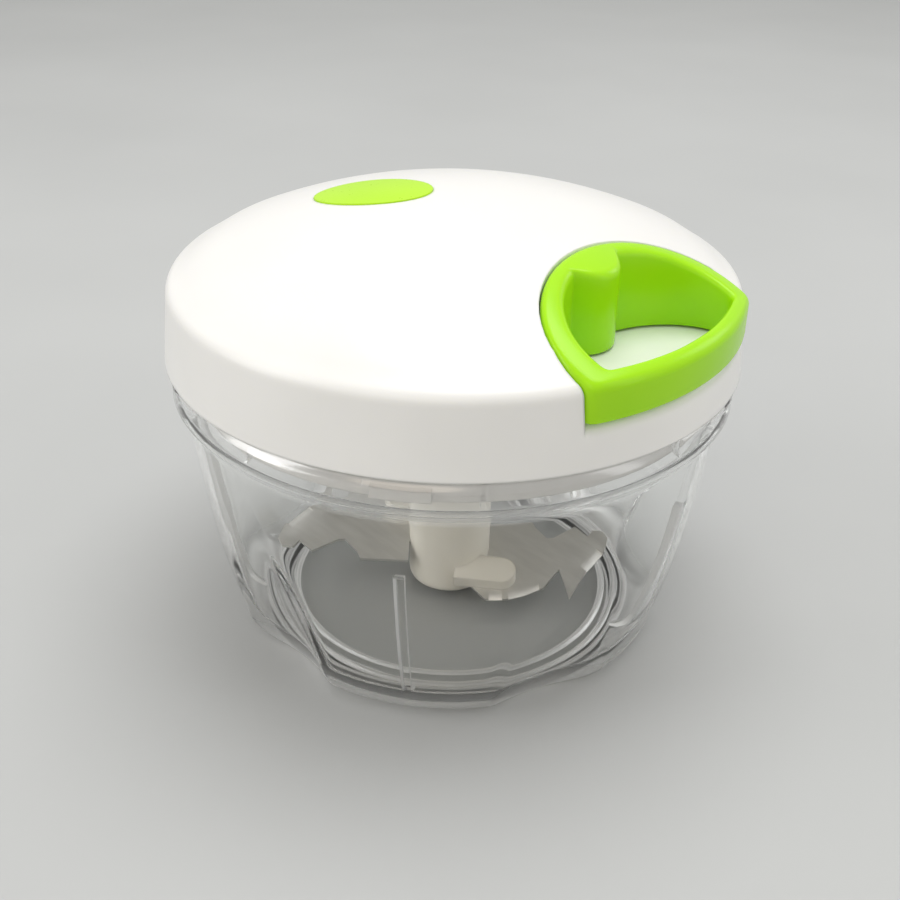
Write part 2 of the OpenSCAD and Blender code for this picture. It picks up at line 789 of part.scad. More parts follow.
lip_gap = 0.1;
lip_t = 0.8;
lip_h = 0.3;
cover_gap = 0.8;
module spring_cover() {
    lip_r = cup_in_r - lip_gap;
    color("ivory") difference() {
        union() {
            rod(cup_in_r + cup_t, cup_top_z, cup_top_z + cover_t);
            tube(lip_r - lip_t, lip_r, cup_top_z - lip_h, cup_top_z + tiny);
        }
        rod(arbor_r + cover_gap, 0, top_z);
    }
}

// Pull cord
wind_steps = 36;
wind_points = [for (i = [0:cord_turns * wind_steps])
    let (q = -leave_deg - 360 * i / wind_steps)
    [wind_r * cos(q), wind_r * sin(q), cord_z - cord_pitch * i / wind_steps]];
function least_gap(p, skip) =
    min([for (i = [0:len(p) - 1]) for (k = [i + skip:1:len(p) - 1]) norm(p[i] - p[k])]) - cord_d;
echo(winding_least_gap = least_gap(wind_points, wind_steps - 6));

module cord_winding() {
    color("whitesmoke") sweep(wind_points, cord_r, 6);
}

turn_deg = 90 - leave_deg;
bend_len = bend_r * tan(turn_deg / 2);
lead_start = [wind_r * cos(leave_deg), -wind_r * sin(leave_deg), cord_z];
lead_dir = [cos(turn_deg), sin(turn_deg), 0];
bend_in = [eye_bend_x, 0, cord_z] - bend_len * lead_dir;
lead_points = concat(
    [for (i = [0:3]) lead_start + (bend_in - lead_start) * (0.02 + 0.96 * i / 3)],
    [for (i = [0:4]) let (q = turn_deg * (1 - i / 4))
        [eye_bend_x + bend_len - bend_r * sin(q), bend_r * cos(q) - bend_r, cord_z]],
    [for (x = [notch_in_x - 0.5, notch_in_x + 1.5, knot_x - knot_r - play]) [x, 0, cord_z]]);

module cord_lead() {
    color("whitesmoke") sweep(lead_points, cord_r, 8);
}

module cord_knot() {
    color("whitesmoke") translate([knot_x, 0, cord_z]) sphere(r = knot_r);
}

module cord_eyelet() {
    wall_x = notch_in_x - notch_wall;
    color("gainsboro") translate([0, 0, cord_z]) rotate([0, 90, 0]) {
        tube(cord_r + cord_gap, eyelet_r, wall_x - tiny, notch_in_x);
        tube(cord_r + cord_gap, eyelet_flange_r, wall_x - eyelet_flange_t, wall_x);
    }
}

// Handle: a loop that fills the notch, with a boss for the knot; its top follows the dome
handle_lift = 0.4;
handle_z = notch_z + handle_lift;
handle_front_r = lid_r - handle_set;
boss_x = handle_in_x + handle_inner_t + boss_out - boss_r;

module handle_outline(front_r, inset_in, inset_side) {
    intersection() {
        polygon(bay(notch_x, notch_depth - inset_in, notch_half_w - inset_side, notch_steps, bay_out));
        circle(r = front_r, $fn = 180);
    }
}

module handle() {
    color("yellowgreen") difference() {
        intersection() {
            union() {
                translate([0, 0, handle_z]) linear_extrude(height = top_z) difference() {
                    handle_outline(handle_front_r, handle_gap, handle_gap);
                    handle_outline(handle_front_r - handle_front_t, handle_gap + handle_inner_t,
                                   handle_gap + handle_side_t);
                }
                translate([0, 0, handle_z]) linear_extrude(height = top_z) intersection() {
                    handle_outline(handle_front_r, handle_gap, handle_gap);
                    translate([boss_x, 0]) circle(r = boss_r);
                }
            }
            dome_skin(-handle_rise);
        }
        translate([knot_x, 0, 0]) rod(knot_r + knot_gap, 0, cord_z + knot_r + 1);
        translate([0, 0, cord_z]) rotate([0, 90, 0]) rod(cord_r + cord_gap, notch_in_x, knot_x);
    }
}

plug_h = 2.5;
module handle_plug() {
    color("yellowgreen") translate([knot_x, 0, 0])
        rod(knot_r + knot_gap - press_gap, handle_z, handle_z + plug_h);
}

bowl();
pivot_pin();
blade_spindle();
blade(0);  // blade_low
blade(1);  // blade_middle
blade(2);  // blade_high
lid_cover();
oval_inlay();
lid_base();
lid_seal();
lid_screws();
drive_bush();
drive_coupling();
reel();
reel_axle();
axle_washer();
axle_screw();
mainspring();
spring_cover();
cord_winding();
cord_lead();
cord_eyelet();
handle();
cord_knot();
handle_plug();
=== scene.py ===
"""Looks of the pull-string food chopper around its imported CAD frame.

The meshes are written in millimetres and degrees; lights and camera are in metres, as in Blender.
"""

import json
import math

import bmesh
import bpy
import numpy as np
from mathutils import Matrix, Vector


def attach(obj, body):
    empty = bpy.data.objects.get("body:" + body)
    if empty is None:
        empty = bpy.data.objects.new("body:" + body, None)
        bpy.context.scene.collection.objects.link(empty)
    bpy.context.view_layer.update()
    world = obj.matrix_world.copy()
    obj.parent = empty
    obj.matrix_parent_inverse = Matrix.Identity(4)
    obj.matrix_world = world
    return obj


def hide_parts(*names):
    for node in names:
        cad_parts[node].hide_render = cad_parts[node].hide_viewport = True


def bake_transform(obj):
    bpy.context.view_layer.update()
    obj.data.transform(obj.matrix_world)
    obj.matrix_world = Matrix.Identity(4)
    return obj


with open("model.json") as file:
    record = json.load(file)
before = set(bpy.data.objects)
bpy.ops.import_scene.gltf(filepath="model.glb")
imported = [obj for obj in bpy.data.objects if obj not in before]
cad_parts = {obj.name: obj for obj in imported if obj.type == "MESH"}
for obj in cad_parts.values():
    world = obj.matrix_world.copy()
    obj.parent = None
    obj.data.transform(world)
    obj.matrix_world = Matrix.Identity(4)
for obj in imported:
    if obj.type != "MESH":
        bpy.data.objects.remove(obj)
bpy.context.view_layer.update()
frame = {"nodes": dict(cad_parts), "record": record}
nodes = frame["nodes"]
scene = bpy.context.scene
MM = 0.001


# Meshes
def add_mesh(name, verts, faces, smooth=True):
    """New object from points in millimetres."""
    mesh = bpy.data.meshes.new(name)
    mesh.from_pydata([tuple(float(c) * MM for c in v) for v in verts], [], faces)
    mesh.validate()
    mesh.update()
    if smooth:
        mesh.polygons.foreach_set("use_smooth", [True] * len(mesh.polygons))
    obj = bpy.data.objects.new(name, mesh)
    scene.collection.objects.link(obj)
    return obj


def arc(cx, cz, r, start, end, n):
    """Points along an arc, in n steps."""
    turns = np.radians(np.linspace(start, end, n + 1))
    return [(cx + r * math.cos(a), cz + r * math.sin(a)) for a in turns]


def curve(a, b, c, n):
    """Points along a curve from a to c that is drawn towards b, in n steps."""
    a, b, c = (np.array(p, float) for p in (a, b, c))
    return [tuple((1 - t) ** 2 * a + 2 * t * (1 - t) * b + t * t * c) for t in np.linspace(0, 1, n + 1)]


def band(a, b):
    """Faces between two rings of vertex numbers; a ring of one vertex closes the mesh."""
    n = max(len(a), len(b))
    steps = [(k, (k + 1) % n) for k in range(n)]
    if len(a) == 1:
        return [(a[0], b[m], b[k]) for k, m in steps]
    if len(b) == 1:
        return [(a[k], a[m], b[0]) for k, m in steps]
    return [(a[k], a[m], b[m], b[k]) for k, m in steps]


def ring_numbers(i, n):
    """Vertex numbers of ring i in a mesh of rings with n vertices each."""
    return range(i * n, (i + 1) * n)


def soft_min(a, b, k):
    """The smaller of two lengths, rounded over k where they cross."""
    h = np.clip(0.5 + 0.5 * (b - a) / k, 0, 1)
    return b * (1 - h) + a * h - k * h * (1 - h)


def smooth_cad(name, angle=32.0):
    """Smooth shading on a CAD node, kept sharp at its edges."""
    obj = nodes[name]
    mesh = obj.data
    stored = mesh.attributes.get("custom_normal")
    if stored is not None:
        mesh.attributes.remove(stored)
    mesh.polygons.foreach_set("use_smooth", [True] * len(mesh.polygons))
    weld = obj.modifiers.new("weld", "WELD")
    weld.merge_threshold = 1e-6
    split = obj.modifiers.new("edges", "EDGE_SPLIT")
    split.split_angle = math.radians(angle)
    return obj


def edge_catch(obj, low, high, share, least):
    """Stores how much light each vertex catches, 0 to 1, by how sharply the mesh bends there."""
    mesh = obj.data
    bend = np.zeros(len(mesh.vertices))
    shape = bmesh.new()
    shape.from_mesh(mesh)
    for edge in shape.edges:
        turn = math.degrees(edge.calc_face_angle(0.0))
        for v in edge.verts:
            bend[v.index] = max(bend[v.index], turn)
    shape.free()
    field = mesh.attributes.new("catch", "FLOAT", "POINT")
    sharp = np.clip((bend - low) / (high - low), 0, 1)
    field.data.foreach_set("value", np.maximum(sharp * share, least))


def dress(obj, mat, slot, body, *stands_for):
    """Gives a piece its material, hides the CAD nodes it stands for and hangs it on the body it rides; slot
    is not used.
    """
    obj.data.materials.append(mat)
    if stands_for:
        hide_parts(*stands_for)
    if body:
        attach(obj, body)
    return obj


# Shader nodes
def new_material(name):
    mat = bpy.data.materials.new(name)
    mat.use_nodes = True
    tree = mat.node_tree
    return mat, tree, tree.nodes["Principled BSDF"]


def set_input(node, key, value):
    node.inputs[key].default_value = value


def noise(tree, scale, detail=3.0, stretch=None):
    coords = tree.nodes.new("ShaderNodeTexCoord")
    out = coords.outputs["Object"]
    if stretch is not None:
        mapping = tree.nodes.new("ShaderNodeMapping")
        set_input(mapping, "Scale", stretch)
        tree.links.new(out, mapping.inputs["Vector"])
        out = mapping.outputs["Vector"]
    tex = tree.nodes.new("ShaderNodeTexNoise")
    set_input(tex, "Scale", scale)
    set_input(tex, "Detail", detail)
    tree.links.new(out, tex.inputs["Vector"])
    return tex.outputs["Fac"]


def ramp(tree, fac, low, high, low_at=0.3, high_at=0.7):
    """Colour that goes from low to high as fac rises."""
    node = tree.nodes.new("ShaderNodeValToRGB")
    for stop, at, color in zip(node.color_ramp.elements, (low_at, high_at), (low, high)):
        stop.position = at
        stop.color = (*color, 1)
    tree.links.new(fac, node.inputs["Fac"])
    return node.outputs["Color"]


def span(tree, fac, low, high):
    """Number that goes from low to high as fac rises from 0 to 1."""
    node = tree.nodes.new("ShaderNodeMapRange")
    set_input(node, "To Min", low)
    set_input(node, "To Max", high)
    tree.links.new(fac, node.inputs["Value"])
    return node.outputs["Result"]


def mix_shader(tree, fac, first, second):
    node = tree.nodes.new("ShaderNodeMixShader")
    for socket, value in zip(node.inputs, (fac, first, second)):
        tree.links.new(value, socket)
    return node.outputs["Shader"]


# Materials
TONE_SCALE, GRAIN_SCALE, BRUSH_SCALE, FLOW_SCALE = 38.0, 900.0, 60.0, 30.0


def plastic(name, low, high, rough, soft_edge=0.0, grain=0.0, sss=0.0, shine=0.5):
    """Moulded plastic with a faint drift of colour, a fine grain and edges rounded by soft_edge."""
    mat, tree, bsdf = new_material(name)
    tree.links.new(ramp(tree, noise(tree, TONE_SCALE), low, high), bsdf.inputs["Base Color"])
    fine = noise(tree, GRAIN_SCALE, 2.0)
    tree.links.new(span(tree, fine, *rough), bsdf.inputs["Roughness"])
    set_input(bsdf, "IOR", 1.49)
    set_input(bsdf, "Specular IOR Level", shine)
    if sss:
        set_input(bsdf, "Subsurface Weight", sss)
        set_input(bsdf, "Subsurface Radius", (0.004, 0.004, 0.003))
        set_input(bsdf, "Subsurface Scale", 0.6)
    normal = None
    if soft_edge:
        round_edge = tree.nodes.new("ShaderNodeBevel")
        round_edge.samples = 6
        set_input(round_edge, "Radius", soft_edge * MM)
        normal = round_edge.outputs["Normal"]
    if grain:
        bump = tree.nodes.new("ShaderNodeBump")
        set_input(bump, "Strength", grain)
        set_input(bump, "Distance", 0.00002)
        tree.links.new(fine, bump.inputs["Height"])
        if normal is not None:
            tree.links.new(normal, bump.inputs["Normal"])
        normal = bump.outputs["Normal"]
    if normal is not None:
        tree.links.new(normal, bsdf.inputs["Normal"])
    return mat


def metal(name, low, high, rough, stretch):
    """Metal with fine lines, squeezed along each axis by its number in stretch."""
    mat, tree, bsdf = new_material(name)
    brush = noise(tree, BRUSH_SCALE, 4.0, stretch)
    tree.links.new(ramp(tree, brush, low, high), bsdf.inputs["Base Color"])
    tree.links.new(span(tree, brush, *rough), bsdf.inputs["Roughness"])
    set_input(bsdf, "Metallic", 1.0)
    return mat


CLEAR_INDEX = 1.05
MIRROR_POWER, MIRROR_LEAST, MIRROR_MOST = 5.5, 0.006, 0.95
CATCH_MIRROR, CATCH_ROUGH, CLEAR_ROUGH = 0.75, 0.5, 0.04
SHADOW_FACING, SHADOW_SLANTED = (0.90, 0.905, 0.90), (0.30, 0.305, 0.30)
SHADOW_CATCH = (0.96, 0.96, 0.96, 1)


def clear_plastic(name):
    """Clear plastic that bends light a little and mirrors it at flat angles and where edges catch it."""
    mat, tree, bsdf = new_material(name)
    links = tree.links
    flow = noise(tree, FLOW_SCALE, 2.0)
    links.new(ramp(tree, flow, (0.985, 0.99, 0.985), (0.995, 0.998, 0.994)), bsdf.inputs["Base Color"])
    links.new(span(tree, flow, 0.0, 0.03), bsdf.inputs["Roughness"])
    set_input(bsdf, "IOR", CLEAR_INDEX)
    set_input(bsdf, "Transmission Weight", 1.0)

    field = tree.nodes.new("ShaderNodeAttribute")
    field.attribute_name = "catch"
    catch = field.outputs["Fac"]
    slant = tree.nodes.new("ShaderNodeLayerWeight")
    set_input(slant, "Blend", 0.5)
    flat_angle = slant.outputs["Facing"]

    gloss = tree.nodes.new("ShaderNodeBsdfGlossy")
    set_input(gloss, "Color", (1, 1, 1, 1))
    links.new(span(tree, catch, CLEAR_ROUGH, CATCH_ROUGH), gloss.inputs["Roughness"])
    power = tree.nodes.new("ShaderNodeMath")
    power.operation = "POWER"
    set_input(power, 1, MIRROR_POWER)
    links.new(flat_angle, power.inputs[0])
    mirror = tree.nodes.new("ShaderNodeMath")
    mirror.operation = "MAXIMUM"
    links.new(span(tree, power.outputs["Value"], MIRROR_LEAST, MIRROR_MOST), mirror.inputs[0])
    links.new(span(tree, catch, 0.0, CATCH_MIRROR), mirror.inputs[1])
    seen = mix_shader(tree, mirror.outputs["Value"], bsdf.outputs["BSDF"], gloss.outputs["BSDF"])

    passed = tree.nodes.new("ShaderNodeMixRGB")
    links.new(catch, passed.inputs[0])
    links.new(ramp(tree, flat_angle, SHADOW_FACING, SHADOW_SLANTED, 0.0, 1.0), passed.inputs[1])
    set_input(passed, 2, SHADOW_CATCH)
    shadow = tree.nodes.new("ShaderNodeBsdfTransparent")
    links.new(passed.outputs["Color"], shadow.inputs["Color"])
    path = tree.nodes.new("ShaderNodeLightPath")
    surface = mix_shader(tree, path.outputs["Is Shadow Ray"], seen, shadow.outputs["BSDF"])
    links.new(surface, tree.nodes["Material Output"].inputs["Surface"])
    return mat


BEVEL_TILT = 2.6


def blade_metal(name, turn, pitch):
    """Ground steel of a blade at this turn and pitch; its bevels are shaded steeper, to catch light."""
    mat = metal(name, (0.78, 0.77, 0.74), (0.86, 0.85, 0.82), (0.4, 0.48), (1, 9, 9))
    tree = mat.node_tree
    a, b = math.radians(turn), math.radians(pitch)
    flat = (math.sin(a) * math.sin(b), -math.cos(a) * math.sin(b), math.cos(b))

    def vector(operation, first, second=None, scale=None):
        node = tree.nodes.new("ShaderNodeVectorMath")
        node.operation = operation
        for socket, value in ((node.inputs[0], first), (node.inputs[1], second), (node.inputs[3], scale)):
            if isinstance(value, (tuple, float)):
                socket.default_value = value
            elif value is not None:
                tree.links.new(value, socket)
        return node.outputs["Value" if operation == "DOT_PRODUCT" else "Vector"]

    def to_space(source, target, value):
        node = tree.nodes.new("ShaderNodeVectorTransform")
        node.vector_type = "NORMAL"
        node.convert_from = source
        node.convert_to = target
        tree.links.new(value, node.inputs[0])
        return node.outputs[0]

    geometry = tree.nodes.new("ShaderNodeNewGeometry")
    normal = to_space("WORLD", "OBJECT", geometry.outputs["Normal"])
    along = vector("SCALE", flat, scale=vector("DOT_PRODUCT", normal, flat))
    aside = vector("SCALE", vector("SUBTRACT", normal, along), scale=BEVEL_TILT)
    tilted = vector("NORMALIZE", vector("ADD", along, aside))
    tree.links.new(to_space("OBJECT", "WORLD", tilted), tree.nodes["Principled BSDF"].inputs["Normal"])
    return mat


white = plastic(
    "white_plastic", (0.84, 0.83, 0.805), (0.87, 0.86, 0.835), (0.26, 0.34),
    soft_edge=0.7, grain=0.06, sss=0.12,
)
# Lid base: the white plastic made darker, as painted shade.
base_white_painted_shade = plastic(
    "lid_base_plastic_painted_shade", (0.62, 0.60, 0.57), (0.66, 0.64, 0.61), (0.3, 0.4), soft_edge=0.5, grain=0.05
)
# Spindle hub: the white plastic made darker and warmer, as painted shade under the lid.
inner_white_painted_shade = plastic(
    "spindle_plastic_painted_shade", (0.67, 0.64, 0.57), (0.71, 0.68, 0.61), (0.3, 0.4), soft_edge=0.8, grain=0.05, sss=0.1
)
acetal = plastic("acetal", (0.78, 0.77, 0.73), (0.83, 0.82, 0.78), (0.35, 0.5), soft_edge=0.3)
green = plastic(
    "green_plastic", (0.36, 0.74, 0.004), (0.40, 0.78, 0.009), (0.2, 0.28),
    soft_edge=0.5, grain=0.04, sss=0.25, shine=0.3,
)
oval_green = plastic(
    "oval_plastic", (0.45, 0.79, 0.006), (0.49, 0.83, 0.012), (0.25, 0.33),
    soft_edge=0.4, grain=0.04, shine=0.25,
)
silicone = plastic("silicone", (0.72, 0.73, 0.73), (0.78, 0.79, 0.79), (0.5, 0.6))
cord_mat = plastic("cord", (0.72, 0.72, 0.69), (0.86, 0.86, 0.83), (0.7, 0.9))
blade_steel = blade_metal("blade_steel", turn=122.0, pitch=0.0)
steel = metal("steel", (0.5, 0.5, 0.51), (0.66, 0.66, 0.67), (0.22, 0.36), (4, 4, 20))
spring_steel = metal("spring_steel", (0.16, 0.17, 0.2), (0.26, 0.27, 0.31), (0.25, 0.4), (2, 2, 12))
clear = clear_plastic("clear_plastic")

# CAD pieces: the material of their slot, or one of their own
by_slot = {
    "clear_plastic": clear,
    "white_plastic": white,
    "green_plastic": green,
    "blade_steel": blade_steel,
    "steel": steel,
    "spring_steel": spring_steel,
    "silicone": silicone,
    "acetal": acetal,
    "cord": cord_mat,
}
by_node = {
    "blade_spindle": inner_white_painted_shade,
    "lid_base": base_white_painted_shade,
    "oval_inlay": oval_green,
    "blade_low": blade_metal("blade_low_steel", turn=32.0, pitch=20.0),
    "blade_middle": blade_metal("blade_middle_steel", turn=212.0, pitch=-20.0),
}
for part in frame["record"]["subparts"]:
    obj = smooth_cad(part["node"])
    obj.data.materials.clear()
    obj.data.materials.append(by_node.get(part["node"], by_slot[part["material_slot"]]))

# Bowl: one closed skin with flutes, stopper ribs and bayonet ridges
# A flute's bottom is FLUTE_IN from the axis at the table and FLUTE_TOP_R from it at FLUTE_H.
# A curve is drawn towards its PULL point, and a FLANK is the angle over which a side rises.
LOBES, LOBE_AT = 5, 12.0
LOBE_STEP = 360.0 / LOBES
FLUTE_R, FLUTE_IN, FLUTE_TOP_R, FLUTE_H = 32.0, 44.1, 57.4, 40.0
FLUTE_LEAN = math.atan2(FLUTE_TOP_R - FLUTE_IN, FLUTE_H)
FLUTE_SOFT = 1.4
FLUTE_END, FLUTE_LEAST_R = 56.0, 30.0
WALL, FLOOR = 1.9, 2.2
WALL_TOP_R, WALL_PULL, WALL_PULL_IN = 59.4, (55.9, 22.0), (54.6, 26.0)
RIM, RIM_EDGE = 66.2, 0.35
COLLAR, COLLAR_R, COLLAR_IN, COLLAR_MIDDLE = 58.6, 61.6, 59.3, 62.0
FOOT_R, FOOT_END = 39.0, 41.6
UNDERSIDE = 0.6
HEEL_X, HEEL_R = 43.6, 7.2
CORNER_START_R, CORNER_PULL_R, CORNER_R, CORNER_H = 39.0, 48.5, 49.7, 11.0
FLOOR_END_R = 45.0
RIB_H, RIB_DEPTH, RIB_RUN, RIB_LEAST_R = 40.0, 1.6, 1.5, 44.0
RIB_T, RIB_AT_R = 1.8, 50.0
RIB_HALF, RIB_FLANK = math.degrees(RIB_T / 2 / RIB_AT_R), 0.12
RIDGES, RIDGE_R, RIDGE_AT = 4, 57.9, -59.0
RIDGE_LOW, RIDGE_TOP = 62.6, 64.2
RIDGE_START, RIDGE_END, RIDGE_FLANK = -32.9, -6.9, 0.06
STOP_LOW, STOP_MIDDLE = 60.0, 61.0
STOPS = ((RIDGE_START, -31.9), (14.4, 15.4))
FLOOR_RINGS = (43.0, 40.7, 37.3)
FLOOR_RING_HALF = ((0.95, 0.0), (0.8, 0.0), (0.45, 0.4))
FLOOR_RING_SHAPE = FLOOR_RING_HALF + ((0.0, 0.6),) + tuple((-d, h) for d, h in FLOOR_RING_HALF[::-1])
FLOOR_RING_CLEAR = 1.05
PIN_BOSS_R, PIN_BOSS_H = 6.8, 1.0
TURN_STEP = 0.6


def bowl_outside():
    """Profile from the middle of the underside, over the foot and wall, to the top of the rim."""
    points = [(r, UNDERSIDE) for r in (0.0, FOOT_R - 0.6, FOOT_R - 0.3)]
    points += [(FOOT_R, UNDERSIDE - 0.05), (FOOT_R + 0.5, 0.05), (FOOT_R + 0.7, 0.0), (FOOT_END, 0.0)]
    points += arc(HEEL_X, HEEL_R, HEEL_R, -90, -6, 15)
    points += curve((HEEL_X + HEEL_R, HEEL_R), WALL_PULL, (WALL_TOP_R, COLLAR - 1.1), 26)[1:]
    points += [(WALL_TOP_R + 0.3, COLLAR - 0.95), (COLLAR_R - 0.4, COLLAR - 0.2)]
    points += [(COLLAR_R, z) for z in (COLLAR + 0.3, COLLAR_MIDDLE, RIM - RIM_EDGE)]
    return points + arc(COLLAR_R - RIM_EDGE, RIM - RIM_EDGE, RIM_EDGE, 0, 90, 4)


def bowl_floor_corner():
    """Profile of the rounding between wall and floor, with the low rings on it."""
    smooth = curve((CORNER_START_R, FLOOR), (CORNER_PULL_R, FLOOR + 0.2), (CORNER_R, CORNER_H), 16)
    radii, heights = zip(*smooth)
    points = [p for p in smooth[:-1] if min(abs(p[0] - r) for r in FLOOR_RINGS) > FLOOR_RING_CLEAR]
    for r in FLOOR_RINGS:
        points += [(r + d, float(np.interp(r + d, radii, heights)) + h) for d, h in FLOOR_RING_SHAPE]
    return sorted(points, key=lambda p: -p[0])


def bowl_inside():
    """Profile from the rim, down past the bayonet and the ribs, to the middle of the floor."""
    points = arc(COLLAR_IN + RIM_EDGE, RIM - RIM_EDGE, RIM_EDGE, 90, 180, 4)
    ridge = [RIDGE_TOP + 0.05, RIDGE_TOP, (RIDGE_TOP + RIDGE_LOW) / 2, RIDGE_LOW, RIDGE_LOW - 0.05]
    stop = [STOP_MIDDLE, STOP_LOW + 0.05, STOP_LOW, STOP_LOW - 0.5]
    points += [(COLLAR_IN, z) for z in ridge + stop + [COLLAR + 0.4]]
    points += [(COLLAR_IN - 0.3, COLLAR)]
    smooth = curve((CORNER_R, CORNER_H), WALL_PULL_IN, (WALL_TOP_R - WALL, COLLAR - 1), 29)
    radii, heights = zip(*smooth)
    corner = bowl_floor_corner()
    wall = [p for p in smooth if abs(p[1] - RIB_H) > 0.4]
    wall += [(float(np.interp(z, heights, radii)), z) for z in (RIB_H + 0.02, RIB_H - 0.02)]
    wall += [p for p in corner if p[0] > FLOOR_END_R]
    points += sorted(wall, key=lambda p: -p[1])
    points += [p for p in corner if p[0] <= FLOOR_END_R]
    points += [(PIN_BOSS_R + 0.3, FLOOR), (PIN_BOSS_R, FLOOR), (PIN_BOSS_R - 0.3, FLOOR + 0.15)]
    points += [(PIN_BOSS_R - 0.4, FLOOR + PIN_BOSS_H - 0.1), (PIN_BOSS_R - 0.6, FLOOR + PIN_BOSS_H)]
    return points + [(0.0, FLOOR + PIN_BOSS_H)]


def bowl_directions():
    """Even steps round the bowl, with more at the sides of the ribs, ridges and stops."""
    turns = list(np.arange(0, 360, TURN_STEP))
    for i in range(LOBES):
        at = LOBE_AT + LOBE_STEP * i
        turns += [at - RIB_HALF - RIB_FLANK, at - RIB_HALF, at + RIB_HALF, at + RIB_HALF + RIB_FLANK]
    for i in range(RIDGES):
        for side in (RIDGE_END, *STOPS[0], *STOPS[1]):
            at = RIDGE_AT + 360.0 / RIDGES * i + side
            turns += [at - RIDGE_FLANK, at + RIDGE_FLANK]
    return np.array(sorted({round(float(a) % 360, 3) for a in turns}))


def flute_radius(turns, z, grow):
    """Distance from the axis at which each direction meets the nearest flute's leaning cylinder."""
    d = np.radians((turns - LOBE_AT) % LOBE_STEP - LOBE_STEP / 2)
    axis = np.array([math.sin(FLUTE_LEAN), 0, math.cos(FLUTE_LEAN)])
    outward = np.array([math.cos(FLUTE_LEAN), 0, -math.sin(FLUTE_LEAN)])
    ray = np.stack([np.cos(d), np.sin(d), 0 * d], 1)
    start = np.array([0, 0, z]) - (np.array([FLUTE_IN, 0, 0]) + FLUTE_R * outward)
    ray_across = ray - (ray @ axis)[:, None] * axis
    start_across = start - (start @ axis) * axis
    a = (ray_across * ray_across).sum(1)
    b = ray_across @ start_across
    c = start_across @ start_across - (FLUTE_R + grow) ** 2
    disc = b * b - a * c
    return np.where(disc > 0, (-b - np.sqrt(np.maximum(disc, 0))) / a, 1e3)


def bowl_ring(turns, r, z, outer):
    """Radius of the skin in each direction, at one point of the profile."""
    radius = np.full(len(turns), r)
    if z < FLUTE_END and r > FLUTE_LEAST_R:
        radius = soft_min(radius, flute_radius(turns, z, 0.0 if outer else WALL), FLUTE_SOFT)
    if outer:
        return radius
    if z < RIB_H and r > RIB_LEAST_R:
        off_rib = np.abs((turns - LOBE_AT + LOBE_STEP / 2) % LOBE_STEP - LOBE_STEP / 2)
        depth = RIB_DEPTH * np.clip((z - FLOOR) / RIB_RUN, 0, 1)
        radius = np.where(off_rib <= RIB_HALF + 0.01, radius - depth, radius)
    off_ridge = (turns - RIDGE_AT + 180.0 / RIDGES) % (360.0 / RIDGES) - 180.0 / RIDGES
    if RIDGE_LOW - 0.01 < z < RIDGE_TOP + 0.01:
        radius = np.where((off_ridge > RIDGE_START) & (off_ridge < RIDGE_END), RIDGE_R, radius)
    if STOP_LOW - 0.01 < z < RIDGE_TOP + 0.01:
        for start, end in STOPS:
            radius = np.where((off_ridge > start) & (off_ridge < end), RIDGE_R, radius)
    return radius


def bowl_mesh():
    outside, inside = bowl_outside(), bowl_inside()
    turns = bowl_directions()
    cos, sin = np.cos(np.radians(turns)), np.sin(np.radians(turns))
    verts, rings = [], []
    for i, (r, z) in enumerate(outside + inside):
        first = len(verts)
        if r == 0.0:
            verts.append((0, 0, z))
        else:
            radius = bowl_ring(turns, r, z, i < len(outside))
            verts += list(zip(radius * cos, radius * sin, [z] * len(turns)))
        rings.append(range(first, len(verts)))
    faces = [face for a, b in zip(rings, rings[1:]) for face in band(a, b)]
    return add_mesh("bowl_skin", verts, faces)


bowl = dress(bowl_mesh(), clear, "clear_plastic", "bowl", "bowl")

# Light that the bowl catches: most at sharp bends, less on the milky collar, and some low on the foot
BEND_FROM, BEND_FULL = 7.0, 32.0
COLLAR_SHARE, COLLAR_LEAST = 0.35, 0.2
FOOT_GLOW_H = 12.0
height = np.array([v.co.z for v in bowl.data.vertices]) / MM
reach = np.array([v.co.xy.length for v in bowl.data.vertices]) / MM
faces_down = np.array([v.normal.z for v in bowl.data.vertices]) < 0
on_collar = height > COLLAR - 0.5
foot_glow = np.where(faces_down & (reach > FOOT_R + 0.3), np.clip(1 - height / FOOT_GLOW_H, 0, 1), 0.0)
catch_share = np.where(on_collar, COLLAR_SHARE, 1.0)
catch_least = np.where(on_collar, COLLAR_LEAST, foot_glow)
edge_catch(bowl, BEND_FROM, BEND_FULL, catch_share, catch_least)

# Handle: rounded loop whose top follows the dome, swelled into a boss for the cord's knot
LID_TOP, DOME_R = 98.4, 132.38
NOTCH_X, FRONT_R = 52.0, 62.2
HANDLE_LOW, HANDLE_RISE = 75.7, 0.4
BAR_T = 3.2
OUTER_DEPTH, OUTER_HALF, OUTER_CORNER = 20.75, 28.2, 1.8
INNER_DEPTH, INNER_HALF, INNER_CORNER = 17.1, 22.5, 1.6
TOP_EDGE, TOP_EDGE_SHARE, LOW_EDGE = 1.55, 0.45, 0.5
BOSS_X, BOSS_R, BOSS_SOFT = 33.1, 7.2, 3.0
BOSS_REACH_Y, BOSS_REACH_X = 15.0, 44.0


def handle_top(x, y):
    """Height of the handle's top, a little above the dome's sphere."""
    return LID_TOP - DOME_R + HANDLE_RISE + np.sqrt(DOME_R**2 - x * x - y * y)


def loop_lines(front_r, depth, half):
    """Back line (half ellipse with straight sides) and round front line of the loop."""
    corner_x = math.sqrt(front_r**2 - half**2)
    sweep = np.radians(np.linspace(270, 90, 181))
    bay = [(NOTCH_X + depth * math.cos(q), half * math.sin(q)) for q in sweep]
    side = np.linspace(corner_x, NOTCH_X, 12)[:-1]
    back = [(x, -half) for x in side] + bay + [(x, half) for x in side[::-1]]
    turn = math.atan2(half, corner_x)
    front = [(front_r * math.cos(q), front_r * math.sin(q)) for q in np.linspace(turn, -turn, 81)]
    return np.array(back), np.array(front)


